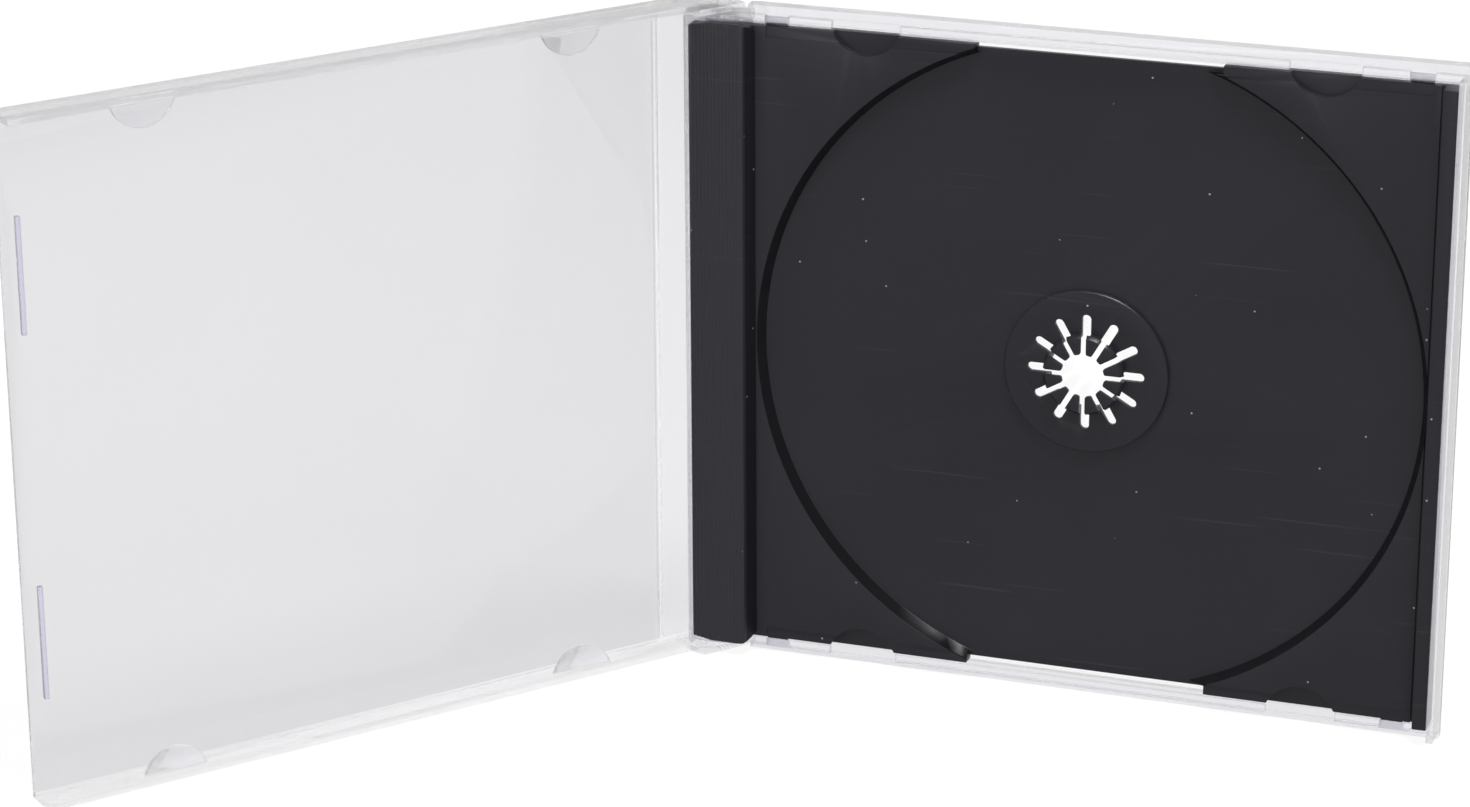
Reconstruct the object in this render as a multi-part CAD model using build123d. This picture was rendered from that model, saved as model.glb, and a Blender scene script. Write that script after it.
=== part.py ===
from build123d import *
import math
import os

# A CD jewel case that stands open like a book on the long edges of its two leaves.
# Millimetres. Each moulding is drawn as the closed case lies on its back:
# u runs from the spine to the opening edge, v along the spine, w from back to front.
# upright() then stands the case up. The origin is the foot of the hinge axis, which is +Z.

# Disc that the case holds
disc_radius = 60.0
disc_thick = 1.2
recess_gap = 2.2

# Case
case_depth = 10.4
open_angle = 128.0

# Clear mouldings
plate = 1.2
side_wall = 1.2
corner_round = 0.5
running_gap = 0.2
card_gap = 0.3

# Hinge
pin_radius = 1.4
pin_gap = 0.06
pin_reach = 1.5
pin_foot = 2.0
ear_reach = 6.1

# Back cover
spine_bevel = 1.0
end_rise = 8.3
flange_rise = 2.7
rail_thick = 1.5
rail_drop = 0.2

# Front cover
stop_ridge_gap = 0.7
stop_ridge_rise = 1.0
stop_ridge_thick = 0.8
bar_length = 21.0
bar_centre = 33.4
bar_inset = 3.5
bar_rise = 0.9
bar_thick = 0.8
tab_reach = 4.6
tab_radius = 6.2
tab_thick = 1.0
tab_lift = 0.8
grip_pitch = 0.8
grip_depth = 0.15
grip_start = 1.2

# Disc tray
tray_gap = 0.4
tray_skin = 0.9
strip_width = 11.5
strip_draft = 1.3
strip_bevel = 0.2
strip_overhang = 0.7
strip_end_round = 2.4
strip_end_lean = 0.7
strip_lean_run = 3.6
strip_rib_pitch = 0.7
strip_rib_depth = 0.12
recess_depth = 2.1
recess_draft = 1.2
platform_margin = 0.1
rim_margin = 0.5
rim_width = 2.5
rim_gap = 1.9
rim_groove = 0.6
mouth_half = 22.5
mouth_cut = 3.0
mouth_depth = 1.7
mouth_shift = 1.2
floor_notch = 0.9
moon_inset = 20.6
moon_gap = 0.6
moon_drop = 1.3
moon_shift = 0.9
edge_ledge = 2.0
edge_drop = 0.2
nub_radius = 0.7
nub_rise = 0.2
nub_spread = 29.5
clip_width = 4.0
clip_reach = 0.45
clip_gap = 3.2

# Disc hub
hub_radius = 15.2
hub_rise = 1.0
hub_edge = 0.2
slot_count = 12
slot_outer = 10.85
slot_wide = 1.7
slot_narrow = 1.05
eye_radius = 4.0
neck_radius = 7.3
lip_reach = 0.25
lip_rise = 0.3
crown_rise = 2.2
crown_inset = 0.3
crown_skin = 0.7
tip_round = 0.4

# Along the closed case, from the spine to the opening edge
tray_start = plate + card_gap
strip_end = tray_start + strip_width
recess_radius = disc_radius + recess_gap
disc_centre = strip_end + platform_margin + recess_radius
rim_start = disc_centre + recess_radius + rim_margin
tray_end = rim_start + rim_width
case_length = tray_end + card_gap + plate

# Across it, from the middle to a long edge
tray_half = recess_radius - mouth_cut
rail_inner = tray_half + tray_gap
rail_outer = rail_inner + rail_thick
side_inner = rail_outer + running_gap
half_height = side_inner + side_wall

# Through it, from the back to the front
plate_back = case_depth - plate
tray_back = plate + card_gap
floor_top = tray_back + tray_skin
platform_top = floor_top + recess_depth
rail_rise = platform_top - rail_drop
rim_top = plate_back - rim_gap
tab_foot = platform_top + tab_lift - tab_thick
moon_floor = tab_foot - moon_drop
clip_level = (floor_top + platform_top) / 2
hub_top = floor_top + hub_rise
crown_top = hub_top + crown_rise

# The pivot sits where the back edge just clears the front plate as the cover swings round it.
hinge_w = pin_radius + pin_foot
hinge_u = math.sqrt((plate_back - hinge_w) ** 2 - hinge_w ** 2)
swing = plate_back - hinge_w - running_gap
lug_top = hinge_w + pin_radius + side_wall
notch_end = hinge_u + ear_reach + running_gap

moon_spread = recess_radius - moon_inset
moon_places = (disc_centre - moon_spread, disc_centre + moon_spread)
moon_radius = tab_radius + moon_gap
clip_spread = moon_spread + 2 * moon_radius + clip_gap
clip_places = (disc_centre - clip_spread, disc_centre + clip_spread)
mouth_start = disc_centre + mouth_shift - mouth_half
mouth_end = disc_centre + mouth_shift + mouth_half


def block(u0, u1, v0, v1, w0, w1):
    """A box between two corners."""
    centre = Pos((u0 + u1) / 2, (v0 + v1) / 2, (w0 + w1) / 2)
    return centre * Box(u1 - u0, v1 - v0, w1 - w0)


def disc(u, v, radius, w0, w1):
    """A round post along w."""
    return Pos(u, v, (w0 + w1) / 2) * Cylinder(radius, w1 - w0)


def cross_pin(u, w, radius, v0, v1):
    """A round post along v."""
    return Pos(u, (v0 + v1) / 2, w) * Rot(90, 0, 0) * Cylinder(radius, v1 - v0)


def both_sides(shape):
    """The shape and its mirror image across the middle of the case."""
    return [shape, mirror(shape, about=Plane.XZ)]


def upright(shape):
    """Stands the flat drawing up with the hinge axis on +Z."""
    return Pos(0, 0, half_height) * Rot(90, 0, 0) * Pos(-hinge_u, 0, -hinge_w) * shape


def side_profile(points):
    """A face in the u-w plane, ready to be extruded along v."""
    return make_face(Plane.XZ * Polyline(*points, close=True))


def swing_limit(u):
    """How far forward a piece may reach at u before the front plate meets it as it swings."""
    return hinge_w + math.sqrt(swing ** 2 - (hinge_u - u) ** 2)


def back_cover():
    """The clear back: plate, spine and end walls, side rails, flanges and hinge holes."""
    body = block(0, case_length, -rail_outer, rail_outer, 0, plate)
    spine_points = [
        (0, 0),
        (plate, 0),
        (plate, swing_limit(spine_bevel)),
        (spine_bevel, swing_limit(spine_bevel)),
        (0, swing_limit(0)),
    ]
    body += extrude(side_profile(spine_points), rail_outer, both=True)
    body += block(case_length - plate, case_length, -rail_outer, rail_outer, 0, end_rise)
    flange = block(notch_end, case_length, rail_outer, half_height, 0, flange_rise)
    rail = block(0, case_length, rail_inner, rail_outer, 0, rail_rise)
    lug = block(0, hinge_u * 2, rail_inner, rail_outer, 0, lug_top)
    for piece in (flange, rail, lug):
        body += both_sides(piece)
    for moon in moon_places:
        reach = tab_radius + running_gap
        gap = block(moon - reach, moon + reach, rail_inner - 1, half_height, moon_floor, rail_rise + 1)
        body -= both_sides(gap)
    for place in clip_places:
        reach = clip_width / 2 + running_gap
        slot_top = clip_level + tray_skin / 2 + running_gap
        slot_foot = clip_level - tray_skin / 2 - running_gap
        slot = block(place - reach, place + reach, rail_inner - 1, rail_outer, slot_foot, slot_top)
        body -= both_sides(slot)
    hole = cross_pin(hinge_u, hinge_w, pin_radius + pin_gap, rail_inner - 1, half_height)
    body -= both_sides(hole)
    outer = body.edges().filter_by(Axis.Y).group_by(Axis.Z)[0]
    return fillet(outer, corner_round)


def ear():
    """One hinge ear of the front cover, full depth, with its bearing corner cut back."""
    foot = hinge_u + math.sqrt(ear_reach ** 2 - hinge_w ** 2)
    shoulder = hinge_u + ear_reach
    points = [
        (0, 0),
        (foot, 0),
        (shoulder, flange_rise + running_gap),
        (shoulder, case_depth),
        (0, case_depth),
    ]
    face = side_profile(points)
    cheek = Pos(0, side_inner, 0) * extrude(face, -side_wall)
    # The pin stops short of the tray's end.
    return cheek + cross_pin(hinge_u, hinge_w, pin_radius, side_inner - pin_reach, side_inner + side_wall / 2)


def grips():
    """Fine ribs that the thumb feels on the outside of the ears."""
    found = []
    grip_count = int((notch_end - grip_start) / grip_pitch)
    for number in range(grip_count):
        at = grip_start + number * grip_pitch
        low = flange_rise if at > hinge_u + grip_pitch else plate
        groove = block(at, at + grip_pitch / 2, half_height - grip_depth, half_height + 1, low, plate_back)
        found += both_sides(groove)
    return found


def booklet_tab(centre):
    """A half-moon tab that holds the booklet against the front plate."""
    reach = side_inner - tab_reach
    centre_v = reach + tab_radius
    moon = disc(centre, centre_v, tab_radius, tab_foot, tab_foot + tab_thick)
    keep = block(centre - tab_radius, centre + tab_radius, reach, side_inner + side_wall / 2, 0, case_depth)
    return moon & keep


def front_cover():
    """The clear front: plate, side walls, ears with pins, booklet stops and tabs."""
    body = block(0, case_length, -half_height, half_height, plate_back, case_depth)
    wall_foot = flange_rise + running_gap
    wall = block(notch_end - running_gap, case_length, side_inner, half_height, wall_foot, plate_back)
    ridge_foot = plate_back - stop_ridge_rise
    ridge_at = strip_end + stop_ridge_gap
    body += block(ridge_at, ridge_at + stop_ridge_thick, -side_inner, side_inner, ridge_foot, plate_back)
    bar_at = case_length - bar_inset
    bar_low = bar_centre - bar_length / 2
    bar_high = bar_centre + bar_length / 2
    bar = block(bar_at, bar_at + bar_thick, bar_low, bar_high, plate_back - bar_rise, plate_back)
    tabs = [booklet_tab(place) for place in moon_places]
    for piece in [wall, bar, ear()] + tabs:
        body += both_sides(piece)
    for groove in grips():
        body -= groove
    outer = body.edges().filter_by(Axis.Y).group_by(Axis.Z)[-1]
    return fillet(outer, corner_round)


def strip_outline():
    """The strip's plan, with rounded and slightly leaning ends."""
    square = tray_start + strip_lean_run
    half = tray_half + strip_overhang
    plan = Polyline(
        (tray_start, -half + strip_end_lean),
        (square, -half),
        (strip_end, -half),
        (strip_end, half),
        (square, half),
        (tray_start, half - strip_end_lean),
        close=True,
    )
    face = make_face(plan)
    rounded = fillet(face.vertices().group_by(Axis.X)[-1], strip_end_round)
    column = Pos(0, 0, platform_top) * extrude(rounded, case_depth)
    # It reaches a little past the tray's edges above the hinge lugs.
    brow = lug_top + running_gap
    reach = block(0, strip_end, -half, half, brow, case_depth)
    reach += block(0, strip_end, -tray_half, tray_half, platform_top, brow)
    foot = block(tray_start, strip_end, -tray_half, tray_half, tray_back, platform_top)
    return foot + (column & reach)


def strip():
    """The raised finger strip beside the spine, hollow below and finely ribbed on top."""
    top_start = tray_start + strip_bevel
    strip_top = swing_limit(top_start)
    top_end = strip_end - strip_draft
    count = int((top_end - top_start) / strip_rib_pitch)
    first = (top_start + top_end - count * strip_rib_pitch) / 2
    points = [(tray_start, tray_back), (tray_start, swing_limit(tray_start)), (top_start, strip_top)]
    for number in range(count):
        at = first + number * strip_rib_pitch
        points.append((at, strip_top))
        points.append((at + strip_rib_pitch / 2, strip_top - strip_rib_depth))
    points += [(top_end, strip_top), (strip_end, platform_top), (strip_end, tray_back)]
    outer = extrude(side_profile(points), half_height, both=True) & strip_outline()
    inner_end = top_end - tray_skin
    inner_top = swing_limit(tray_start) - tray_skin
    shoulder = strip_top - tray_skin - strip_rib_depth
    hollow_points = [
        (tray_start + tray_skin, tray_back - 1),
        (tray_start + tray_skin, inner_top),
        (top_start + tray_skin, shoulder),
        (inner_end, shoulder),
        (inner_end, tray_back - 1),
    ]
    hollow = extrude(side_profile(hollow_points), tray_half - tray_skin, both=True)
    return outer - hollow


def recess():
    """The round well for the disc, with a sloping wall."""
    well = Cone(recess_radius - recess_draft, recess_radius, recess_depth)
    well = Pos(disc_centre, 0, (floor_top + platform_top) / 2) * well
    return well + disc(disc_centre, 0, recess_radius, platform_top, platform_top + 1)


def floor_and_platform():
    """The four corner platforms, the recess wall and the recess floor."""
    span = (strip_end - tray_skin, tray_end)
    slab = block(*span, -tray_half, tray_half, tray_back, platform_top)
    under = block(strip_end, tray_end - tray_skin, -tray_half + tray_skin, tray_half - tray_skin,
                  tray_back - 1, platform_top - tray_skin)
    body = slab - under
    ring = disc(disc_centre, 0, recess_radius + tray_skin, tray_back, platform_top)
    body += ring & slab
    body -= recess()
    # The recess is open along both long edges.
    mouth_foot = tray_half - mouth_depth
    mouth = block(mouth_start, mouth_end, mouth_foot, tray_half + 1, floor_top, platform_top + 1)
    notch_half = tray_half - floor_notch
    notch = block(mouth_start, mouth_end, notch_half, tray_half + 1, tray_back - 1, floor_top + 1)
    for cut in both_sides(mouth) + both_sides(notch):
        body -= cut
    return body


def half_moon(centre, radius, w0, w1):
    """A half-moon column at the tray's edge, round the booklet tab's place."""
    return disc(centre, side_inner - tab_reach + tab_radius - moon_shift, radius, w0, w1)


def hub_disc():
    """The round seat for the disc's middle, with a crown of sprung fingers, as one thin shell."""
    under = hub_top - tray_skin
    lip_foot = hub_top + disc_thick
    profile = Polyline(
        (hub_radius, tray_back),
        (hub_radius, hub_top - hub_edge),
        (hub_radius - hub_edge, hub_top),
        (neck_radius, hub_top),
        (neck_radius, lip_foot),
        (neck_radius + lip_reach, lip_foot + lip_rise),
        (neck_radius - crown_inset, crown_top),
        (eye_radius, crown_top),
        (eye_radius, crown_top - crown_skin),
        (neck_radius - crown_skin, crown_top - crown_skin),
        (neck_radius - crown_skin, under),
        (hub_radius - tray_skin, under),
        (hub_radius - tray_skin, tray_back),
        close=True,
    )
    body = revolve(make_face(Plane.XZ * profile), Axis.Z)
    for number in range(slot_count):
        body -= Rot(0, 0, number * 360 / slot_count) * finger_slot()
    upright_edges = body.edges().filter_by(Axis.Z)
    near_eye = neck_radius - 2 * crown_skin
    tips = [edge for edge in upright_edges if math.hypot(edge.center().X, edge.center().Y) < near_eye]
    return Pos(disc_centre, 0, 0) * fillet(tips, tip_round)


def finger_slot():
    """One radial slot: narrow between the finger tips, and wide below them and outside them."""
    low = tray_back - 1
    leaf = crown_top - crown_skin
    wide_start = neck_radius - crown_skin - crown_inset
    wide_end = slot_outer - slot_wide / 2
    narrow = block(0, neck_radius + 2 * lip_reach, -slot_narrow / 2, slot_narrow / 2, leaf, crown_top + 1)
    wide = block(wide_start, wide_end, -slot_wide / 2, slot_wide / 2, low, leaf)
    return narrow + wide + disc(wide_end, 0, slot_wide / 2, low, leaf)


def disc_tray():
    """The dark tray that is snapped into the back cover, moulded as one piece."""
    body = strip() + floor_and_platform()
    body += block(rim_start, tray_end, -tray_half, tray_half, tray_back, rim_top)
    ledge = block(strip_end + edge_ledge, rim_start - edge_ledge, tray_half - edge_ledge, tray_half + 1,
                  platform_top - edge_drop, platform_top + 1)
    for cut in both_sides(ledge):
        body -= cut
    groove_end = rim_start - rim_margin / 2
    groove_foot = platform_top - 2 * edge_drop
    body -= block(groove_end - rim_groove, groove_end, -tray_half, tray_half, groove_foot, platform_top + 1)
    for moon in moon_places:
        pocket = half_moon(moon, moon_radius + tray_skin, tray_back, platform_top)
        keep = block(strip_end, tray_end, 0, tray_half, tray_back, platform_top - edge_drop)
        for boss in both_sides(pocket & keep):
            body += boss
        for cut in both_sides(half_moon(moon, moon_radius, moon_floor, platform_top + 1)):
            body -= cut
    body -= recess()
    body -= disc(disc_centre, 0, hub_radius - tray_skin, tray_back - 1, platform_top)
    body += hub_disc()
    for place in clip_places:
        half = clip_width / 2
        foot = clip_level - tray_skin / 2
        top = clip_level + tray_skin / 2
        clip = block(place - half, place + half, tray_half - tray_skin, tray_half + clip_reach, foot, top)
        for piece in both_sides(clip):
            body += piece
    for place in (-nub_spread, 0, nub_spread):
        nub = Cone(nub_radius, nub_radius / 2, 2 * nub_rise)
        body += Pos(tray_end, place, platform_top) * Rot(0, 90, 0) * nub
    return body


def main():
    os.makedirs("parts", exist_ok=True)
    opened = Rot(0, 0, -open_angle)
    export_step(upright(back_cover()), "parts/back_cover.step")
    export_step(upright(disc_tray()), "parts/disc_tray.step")
    export_step(opened * upright(front_cover()), "parts/front_cover.step")


main()
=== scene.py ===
import math

import bmesh
import bpy
from mathutils import Euler, Matrix, Vector


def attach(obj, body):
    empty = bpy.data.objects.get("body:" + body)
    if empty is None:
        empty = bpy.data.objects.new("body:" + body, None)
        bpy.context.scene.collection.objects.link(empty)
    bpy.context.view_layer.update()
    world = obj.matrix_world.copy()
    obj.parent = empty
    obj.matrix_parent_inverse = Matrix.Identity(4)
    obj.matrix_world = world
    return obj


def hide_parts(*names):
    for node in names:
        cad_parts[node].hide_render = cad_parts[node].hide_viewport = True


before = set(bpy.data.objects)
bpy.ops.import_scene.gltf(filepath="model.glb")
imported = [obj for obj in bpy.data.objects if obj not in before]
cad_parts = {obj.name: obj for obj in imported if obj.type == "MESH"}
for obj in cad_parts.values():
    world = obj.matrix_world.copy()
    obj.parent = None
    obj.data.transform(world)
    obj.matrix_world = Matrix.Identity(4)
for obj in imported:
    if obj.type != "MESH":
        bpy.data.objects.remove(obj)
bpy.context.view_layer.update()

# An open CD jewel case: a clear front cover, a clear back cover and a charcoal disc tray.
# Everything is in metres, in the frame of the solids: +Z is the hinge axis.

mm = 0.001

# Camera, as the photograph was taken
picture_width = 1470
focal_pixels = 4489.9
camera_azimuth = 19.765
camera_elevation = 19.845
camera_roll = -0.287
camera_eye = Vector((0.26834, -0.73642, 0.33113))
sensor_width = 36.0
clip_near = 0.05

# Room
floor_half = 3.0
floor_grey = (0.85, 0.85, 0.85, 1.0)
white = (1.0, 1.0, 1.0, 1.0)
backdrop_white = 1.03
shadow_share = 0.12
room_light = 0.62
room_gloss = 0.45
lamp_aim = (0.03, 0.0, 0.06)

# Shapes of the mouldings, for their finish, their painted shade and light, and their rounding
edge_round = 0.18 * mm
round_segments = 2
sharp_angle = math.radians(28.0)
flat_angle = math.radians(0.3)
join_gap = 0.002 * mm
lid_open = math.radians(128.0)
lid_faces = (5.8 * mm, 7.0 * mm)
back_faces = (-3.4 * mm, -2.2 * mm)
face_band = 0.03 * mm
ridge_place = 9.5 * mm
case_middle = 62.5 * mm
bar_place = 134.2 * mm
bar_half = 0.7 * mm
bar_rise = 1.0 * mm
bar_end = 44.5 * mm
strip_face = 4.3 * mm
strip_fade = [(0.49, 0.0), (0.51, 1.0)]
strip_side = (1.25 * mm, 4.0 * mm)
strip_reach = 8.6 * mm
hub_centre = (70.6 * mm, 0.0, 62.5 * mm)
well_reach = (60.9 * mm, 62.3 * mm)
well_middle = 0.05 * mm
well_half = 1.0 * mm

# Clear polystyrene. Dust is given as the pattern's scale, a speck's radius in it and the
# share of its cells that hold one.
styrene_ior = 1.57
clear_gloss = 0.2
clear_rough = 0.015
smudge_rough = 0.03
see_through = 0.8
edge_body = 0.48
hinge_band = 0.6
# Painted shade: the lid's plate is tinted grey, and the back cover's walls and edges dark lilac. The
# plates are darker towards the bottom, a painted shade too.
lid_shade_tint = (0.703, 0.703, 0.720, 1.0)
lid_edge_tint = (0.94, 0.925, 0.97, 1.0)
back_tint = (0.985, 0.985, 0.99, 1.0)
back_edge_shade_tint = (0.48, 0.46, 0.55, 1.0)
bar_tint = (0.40, 0.38, 0.60, 1.0)
clear_dust_tint = (0.7, 0.7, 0.72, 1.0)
low_shade = 0.965
low_share = 0.8
smudge_share = 0.2
low_height = 125.0 * mm
low_fade = [(0.0, 1.0), (0.75, 0.0)]
smudge_steps = [(0.45, 0.0), (0.75, 1.0)]
haze_scale = 35.0
clear_grain_scale = 900.0
clear_grain_height = 0.002 * mm
clear_dust = (260.0, 0.06, 0.04)

# Charcoal polystyrene
satin_ior = 1.5
satin_gloss = 0.26
# The walls' low gloss and near-black tint below make a painted shade.
wall_gloss = 0.07
satin_rough = 0.30
satin_cloud_rough = 0.08
satin_brush_rough = 0.06
wall_rough = 0.24
wall_cloud_rough = 0.06
satin_dark = (0.0115, 0.0109, 0.0149, 1.0)
satin_light = (0.0149, 0.0142, 0.0187, 1.0)
# Painted light: the top of the finger strip is lighter, where its ribbed top catches light.
lit_strip_tint = (0.0235, 0.0225, 0.0280, 1.0)
lit_strip_share = 0.6
scratch_tint = (0.06, 0.06, 0.065, 1.0)
scratch_share = 0.18
dust_tint = (0.22, 0.22, 0.23, 1.0)
# Painted shade: the walls of the disc's well, and in part those of the strip, take this near-black
# tint.
wall_shade_tint = (0.0055, 0.0053, 0.0066, 1.0)
wall_dust_tint = (0.15, 0.15, 0.155, 1.0)
strip_wall_shade_share = 0.55
cloud_scale = 28.0
satin_grain_scale = 2600.0
brush_stretch = (60.0, 60.0, 2200.0)
brush_turn = (0.0, math.radians(7.0), 0.0)
scratch_stretch = (22.0, 22.0, 1500.0)
scratch_turn = (0.0, math.radians(-8.0), 0.0)
scratch_steps = [(0.70, 0.0), (0.74, 1.0)]
grain_share = 0.6
satin_grain_height = 0.02 * mm
tray_dust = (190.0, 0.035, 0.6)


class Field:
    """A shader value that can be used in ordinary arithmetic."""

    def __init__(self, paint, socket):
        self.paint = paint
        self.socket = socket

    def _join(self, operation, first, second=None):
        inputs = {0: first}
        if second is not None:
            inputs[1] = second
        return self.paint.node("ShaderNodeMath", {"operation": operation}, inputs)

    def __add__(self, other):
        return self._join("ADD", self, other)

    def __radd__(self, other):
        return self._join("ADD", other, self)

    def __sub__(self, other):
        return self._join("SUBTRACT", self, other)

    def __rsub__(self, other):
        return self._join("SUBTRACT", other, self)

    def __mul__(self, other):
        return self._join("MULTIPLY", self, other)

    def __truediv__(self, other):
        return self._join("DIVIDE", self, other)

    def above(self, level):
        return self._join("GREATER_THAN", self, level)

    def below(self, level):
        return self._join("LESS_THAN", self, level)

    def either(self, other):
        return self._join("MAXIMUM", self, other)

    def both(self, other):
        return self._join("MINIMUM", self, other)

    def size(self):
        return self._join("ABSOLUTE", self)


class Paint:
    """One material's node tree."""

    def __init__(self, name):
        self.material = bpy.data.materials.new(name)
        self.material.use_nodes = True
        self.tree = self.material.node_tree
        self.tree.nodes.clear()
        self.output = self.tree.nodes.new("ShaderNodeOutputMaterial")

    def link(self, value, socket):
        """Feeds a socket with a field, a colour or a number."""
        if isinstance(value, Field):
            self.tree.links.new(value.socket, socket)
        else:
            socket.default_value = value

    def node(self, kind, settings=None, inputs=None, out=0):
        """Adds any node: its settings first, then its sockets."""
        made = self.tree.nodes.new(kind)
        for key, value in (settings or {}).items():
            if key == "stops":
                self.stops(made.color_ramp, value)
            else:
                setattr(made, key, value)
        for key, value in (inputs or {}).items():
            self.link(value, made.inputs[key])
        return Field(self, made.outputs[out])

    def stops(self, ramp, stops):
        """Sets a ramp's stops as (place, grey level) pairs."""
        while len(ramp.elements) < len(stops):
            ramp.elements.new(1.0)
        for element, (place, level) in zip(ramp.elements, stops):
            element.position = place
            element.color = (level, level, level, 1.0)

    def place(self, scale=(1.0, 1.0, 1.0), turn=(0.0, 0.0, 0.0)):
        """Object coordinates, stretched and turned."""
        where = self.node("ShaderNodeTexCoord", out="Object")
        return self.node("ShaderNodeMapping", {}, {"Vector": where, "Scale": scale, "Rotation": turn})

    def along(self, where, direction):
        """How far a place lies along a direction."""
        inputs = {0: where, 1: direction}
        return self.node("ShaderNodeVectorMath", {"operation": "DOT_PRODUCT"}, inputs, out="Value")

    def apart(self, where, centre):
        """How far a place is from a centre."""
        inputs = {0: where, 1: centre}
        return self.node("ShaderNodeVectorMath", {"operation": "DISTANCE"}, inputs, out="Value")

    def noise(self, where, scale, detail=2.0, roughness=0.5):
        inputs = {"Vector": where, "Scale": scale, "Detail": detail, "Roughness": roughness}
        return self.node("ShaderNodeTexNoise", {}, inputs)

    def ramp(self, value, stops):
        return self.node("ShaderNodeValToRGB", {"stops": stops}, {"Fac": value})

    def mix_colour(self, factor, first, second):
        made = self.tree.nodes.new("ShaderNodeMix")
        made.data_type = "RGBA"
        self.link(factor, made.inputs["Factor"])
        self.link(first, made.inputs[6])
        self.link(second, made.inputs[7])
        return Field(self, made.outputs[2])

    def bump(self, height, distance):
        return self.node("ShaderNodeBump", {}, {"Height": height, "Distance": distance})

    def surface(self, shader):
        self.tree.links.new(shader.socket, self.output.inputs["Surface"])
        return self.material


def specks(paint, where, scale, radius, share):
    """Small scattered dots: one for a share of the cells of a Voronoi pattern."""
    made = paint.tree.nodes.new("ShaderNodeTexVoronoi")
    paint.link(where, made.inputs["Vector"])
    made.inputs["Scale"].default_value = scale
    made.inputs["Randomness"].default_value = 1.0
    distance = Field(paint, made.outputs["Distance"])
    colour = Field(paint, made.outputs["Color"])
    split = paint.node("ShaderNodeSeparateColor", {}, {"Color": colour})
    return distance.below(radius) * split.below(share)


def clear_styrene(name, across, faces, plate_tint_and_shade, edge_tint_and_shade):
    """Polished clear polystyrene: an even plate but for smudges, dust and painted shade, with another
    tint on walls and edges.

    The plate's two faces lie at the given distances along the direction across it. The lid's
    plate tint is a painted shade that greys it, and the back cover's walls and edges are painted
    dark lilac, a painted shade; the back cover's plate and the lid's walls and edges keep a faint
    tint. The plate is darker towards the bottom, a painted shade. Between the hinge and the stop
    ridge it has less of its tint. The stop bars are lilac.
    """
    paint = Paint(name)
    where = paint.place()
    depth = paint.along(where, across)
    outward = (across[1], -across[0], 0.0)
    reach = paint.along(where, outward).size()
    past_ridge = reach.above(ridge_place)
    on_face = (depth - faces[0]).size().both((depth - faces[1]).size()).below(face_band)
    on_plate = on_face * (hinge_band + past_ridge * (1.0 - hinge_band))
    height = paint.along(where, (0.0, 0.0, 1.0))
    aside = (height - case_middle).size().below(bar_end)
    along_bar = (reach - bar_place).size().below(bar_half) * aside
    on_bar = along_bar * depth.above(faces[0] - bar_rise) * (1.0 - on_face)
    smudge = paint.ramp(paint.noise(where, haze_scale, detail=3.0), smudge_steps)
    low = paint.ramp(height / low_height, low_fade)
    dust = specks(paint, where, *clear_dust)
    # Painted shade: the plate is darker towards the bottom, and greyer on the lid.
    darker = [level * low_shade for level in plate_tint_and_shade[:3]] + [1.0]
    plate = paint.mix_colour(low * low_share + smudge * smudge_share, plate_tint_and_shade, darker)
    # Walls and edges take the edge tint, a dark lilac painted shade on the back cover; near the hinge
    # the plate has less of its tint.
    tint = paint.mix_colour(on_plate, edge_tint_and_shade, plate)
    barred = paint.mix_colour(on_bar, tint, bar_tint)
    shader = paint.node("ShaderNodeBsdfPrincipled", {}, {
        "Base Color": paint.mix_colour(dust, barred, clear_dust_tint),
        "Roughness": clear_rough + smudge * smudge_rough,
        "IOR": styrene_ior,
        "Specular IOR Level": clear_gloss,
        "Transmission Weight": 1.0,
        "Alpha": edge_body + on_plate.either(on_bar) * (see_through - edge_body),
        "Normal": paint.bump(paint.noise(where, clear_grain_scale), clear_grain_height),
    })
    return paint.surface(shader)


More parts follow.
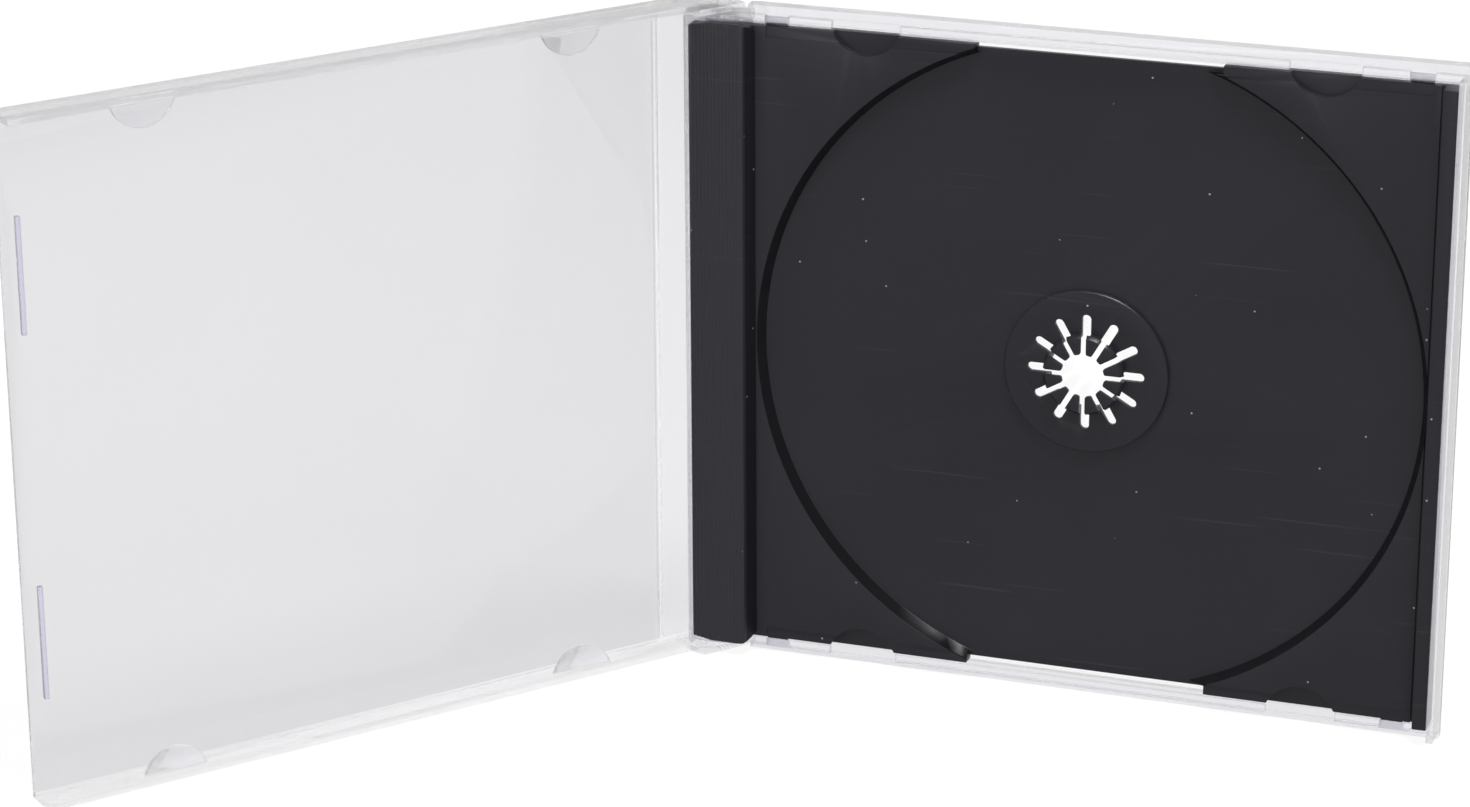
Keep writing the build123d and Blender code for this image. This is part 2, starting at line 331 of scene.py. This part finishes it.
def dark_styrene():
    """Satin charcoal polystyrene with a fine grain, dust specks and hairline scratches.

    The top of the finger strip is painted lighter, a painted light where its ribbed top catches
    light. The walls of the disc's well, and in part those of the strip, are a little smoother
    and are painted darker by a dim shader of low gloss: painted shade.
    """
    paint = Paint("dark_styrene")
    where = paint.place()
    cloud = paint.noise(where, cloud_scale, detail=4.0, roughness=0.6)
    grain = paint.noise(where, satin_grain_scale, roughness=0.7)
    brushed = paint.noise(paint.place(brush_stretch, brush_turn), 1.0, detail=3.0)
    hairs = paint.noise(paint.place(scratch_stretch, scratch_turn), 1.0, detail=1.0)
    scratches = paint.ramp(hairs, scratch_steps)
    dust = specks(paint, where, *tray_dust)
    forward = paint.along(where, (0.0, -1.0, 0.0))
    # Painted light on the top of the finger strip.
    lit_strip = paint.ramp(forward / (2.0 * strip_face), strip_fade)
    apart = paint.apart(where, hub_centre)
    in_well = (forward - well_middle).size().below(well_half)
    well_wall = in_well * apart.above(well_reach[0]) * apart.below(well_reach[1])
    near_strip = paint.along(where, (1.0, 0.0, 0.0)).below(strip_reach)
    strip_wall = near_strip * forward.above(strip_side[0]) * forward.below(strip_side[1])
    # Painted shade: the walls of the well, and in part those of the strip, take the dim wall shader.
    wall_shade = well_wall.either(strip_wall * strip_wall_shade_share)
    moulded = paint.mix_colour(cloud, satin_dark, satin_light)
    base = paint.mix_colour(lit_strip * lit_strip_share, moulded, lit_strip_tint)
    scratched = paint.mix_colour(scratches * scratch_share, base, scratch_tint)
    satin = paint.node("ShaderNodeBsdfPrincipled", {}, {
        "Base Color": paint.mix_colour(dust, scratched, dust_tint),
        "Roughness": satin_rough + cloud * satin_cloud_rough + brushed * satin_brush_rough,
        "IOR": satin_ior,
        "Specular IOR Level": satin_gloss,
        "Normal": paint.bump(grain * grain_share + brushed * (1.0 - grain_share), satin_grain_height),
    })
    # A dim, low-gloss shader that paints shade on the walls.
    wall = paint.node("ShaderNodeBsdfPrincipled", {}, {
        "Base Color": paint.mix_colour(dust, wall_shade_tint, wall_dust_tint),
        "Roughness": wall_rough + cloud * wall_cloud_rough,
        "IOR": satin_ior,
        "Specular IOR Level": wall_gloss,
    })
    return paint.surface(paint.node("ShaderNodeMixShader", {}, {0: wall_shade, 1: satin, 2: wall}))


def floor_paint():
    """A white surface that keeps a faint shadow and shows white through clear pieces.

    Glossy pieces reflect it as the grey of the room.
    """
    paint = Paint("white_floor")
    rays = paint.tree.nodes.new("ShaderNodeLightPath")
    direct = Field(paint, rays.outputs["Is Camera Ray"])
    glossy = Field(paint, rays.outputs["Is Glossy Ray"])
    through = Field(paint, rays.outputs["Is Transmission Ray"])
    seen = direct.either(glossy).either(through)
    plain = paint.node("ShaderNodeBsdfDiffuse", {}, {"Color": floor_grey})
    mirror_grey = [room_gloss / backdrop_white] * 3 + [1.0]
    shown = paint.mix_colour(glossy * (1.0 - through), white, mirror_grey)
    glow = paint.node("ShaderNodeEmission", {}, {"Color": shown, "Strength": backdrop_white})
    blend = {0: seen * (1.0 - shadow_share), 1: plain, 2: glow}
    return paint.surface(paint.node("ShaderNodeMixShader", {}, blend))


def floor():
    """The pale surface that the case stands on."""
    mesh = bpy.data.meshes.new("floor")
    quarters = ((-1, -1), (1, -1), (1, 1), (-1, 1))
    corners = [(across * floor_half, along * floor_half, 0.0) for across, along in quarters]
    mesh.from_pydata(corners, [], [(0, 1, 2, 3)])
    mesh.materials.append(floor_paint())
    made = bpy.data.objects.new("floor", mesh)
    bpy.context.scene.collection.objects.link(made)


def room():
    """An even white room, as in a light tent, that clear and glossy pieces show as white."""
    world = bpy.data.worlds.new("light_tent")
    bpy.context.scene.world = world
    world.use_nodes = True
    tree = world.node_tree
    background = tree.nodes["Background"]
    background.inputs["Color"].default_value = white
    rays = tree.nodes.new("ShaderNodeLightPath")
    glossy = tree.nodes.new("ShaderNodeMapRange")
    glossy.inputs["To Min"].default_value = room_light
    glossy.inputs["To Max"].default_value = room_gloss
    tree.links.new(rays.outputs["Is Glossy Ray"], glossy.inputs["Value"])
    seen = tree.nodes.new("ShaderNodeMath")
    seen.operation = "MAXIMUM"
    tree.links.new(rays.outputs["Is Camera Ray"], seen.inputs[0])
    tree.links.new(rays.outputs["Is Transmission Ray"], seen.inputs[1])
    level = tree.nodes.new("ShaderNodeMapRange")
    level.inputs["To Max"].default_value = 1.0
    tree.links.new(seen.outputs[0], level.inputs["Value"])
    tree.links.new(glossy.outputs["Result"], level.inputs["To Min"])
    tree.links.new(level.outputs["Result"], background.inputs["Strength"])


def soft_lamp(name, place, aim, size, watts):
    """A large square lamp that faces a point."""
    data = bpy.data.lights.new(name, "AREA")
    data.shape = "SQUARE"
    data.size = size
    data.energy = watts
    lamp = bpy.data.objects.new(name, data)
    lamp.location = place
    lamp.rotation_euler = (Vector(aim) - Vector(place)).to_track_quat("-Z", "Y").to_euler()
    bpy.context.scene.collection.objects.link(lamp)


def camera():
    """The photograph's viewpoint."""
    data = bpy.data.cameras.new("camera")
    data.sensor_width = sensor_width
    data.lens = sensor_width * focal_pixels / picture_width
    data.clip_start = clip_near
    made = bpy.data.objects.new("camera", data)
    turn = Euler((math.radians(90.0 - camera_elevation), 0.0, math.radians(camera_azimuth))).to_matrix()
    roll = Matrix.Rotation(math.radians(camera_roll), 3, "Z")
    made.matrix_world = Matrix.Translation(camera_eye) @ (turn @ roll).to_4x4()
    bpy.context.scene.collection.objects.link(made)
    bpy.context.scene.camera = made


def softened(node, body, material):
    """A node's moulding with its flat faces joined and its sharp edges slightly rounded."""
    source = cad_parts[node]
    mesh = source.data.copy()
    shape = bmesh.new()
    shape.from_mesh(mesh)
    bmesh.ops.remove_doubles(shape, verts=shape.verts, dist=join_gap)
    bmesh.ops.dissolve_limit(shape, angle_limit=flat_angle, verts=shape.verts, edges=shape.edges)
    shape.to_mesh(mesh)
    shape.free()
    draft = bpy.data.objects.new(node + "_draft", mesh)
    bpy.context.scene.collection.objects.link(draft)
    rounding = draft.modifiers.new("rounding", "BEVEL")
    rounding.width = edge_round
    rounding.segments = round_segments
    rounding.limit_method = "ANGLE"
    rounding.angle_limit = sharp_angle
    rounding.harden_normals = True
    for face in mesh.polygons:
        face.use_smooth = True
    graph = bpy.context.evaluated_depsgraph_get()
    made = bpy.data.meshes.new_from_object(draft.evaluated_get(graph))
    bpy.data.objects.remove(draft)
    made.materials.clear()
    made.materials.append(material)
    piece = bpy.data.objects.new(node + "_moulding", made)
    bpy.context.scene.collection.objects.link(piece)
    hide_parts(node)
    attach(piece, body)


lid_across = (-math.sin(lid_open), -math.cos(lid_open), 0.0)
back_across = (0.0, -1.0, 0.0)
lid_finish = clear_styrene("lid_styrene", lid_across, lid_faces, lid_shade_tint, lid_edge_tint)
back_finish = clear_styrene("back_styrene", back_across, back_faces, back_tint, back_edge_shade_tint)
softened("front_cover", "front_leaf", lid_finish)
softened("back_cover", "back_leaf", back_finish)
softened("disc_tray", "back_leaf", dark_styrene())
floor()
room()
soft_lamp("overhead", place=(0.25, -0.25, 0.95), aim=lamp_aim, size=0.2, watts=10.0)
soft_lamp("front", place=(-0.5, -0.9, 0.55), aim=lamp_aim, size=0.8, watts=4.0)
camera()

bpy.context.scene.view_settings.view_transform = "Standard"
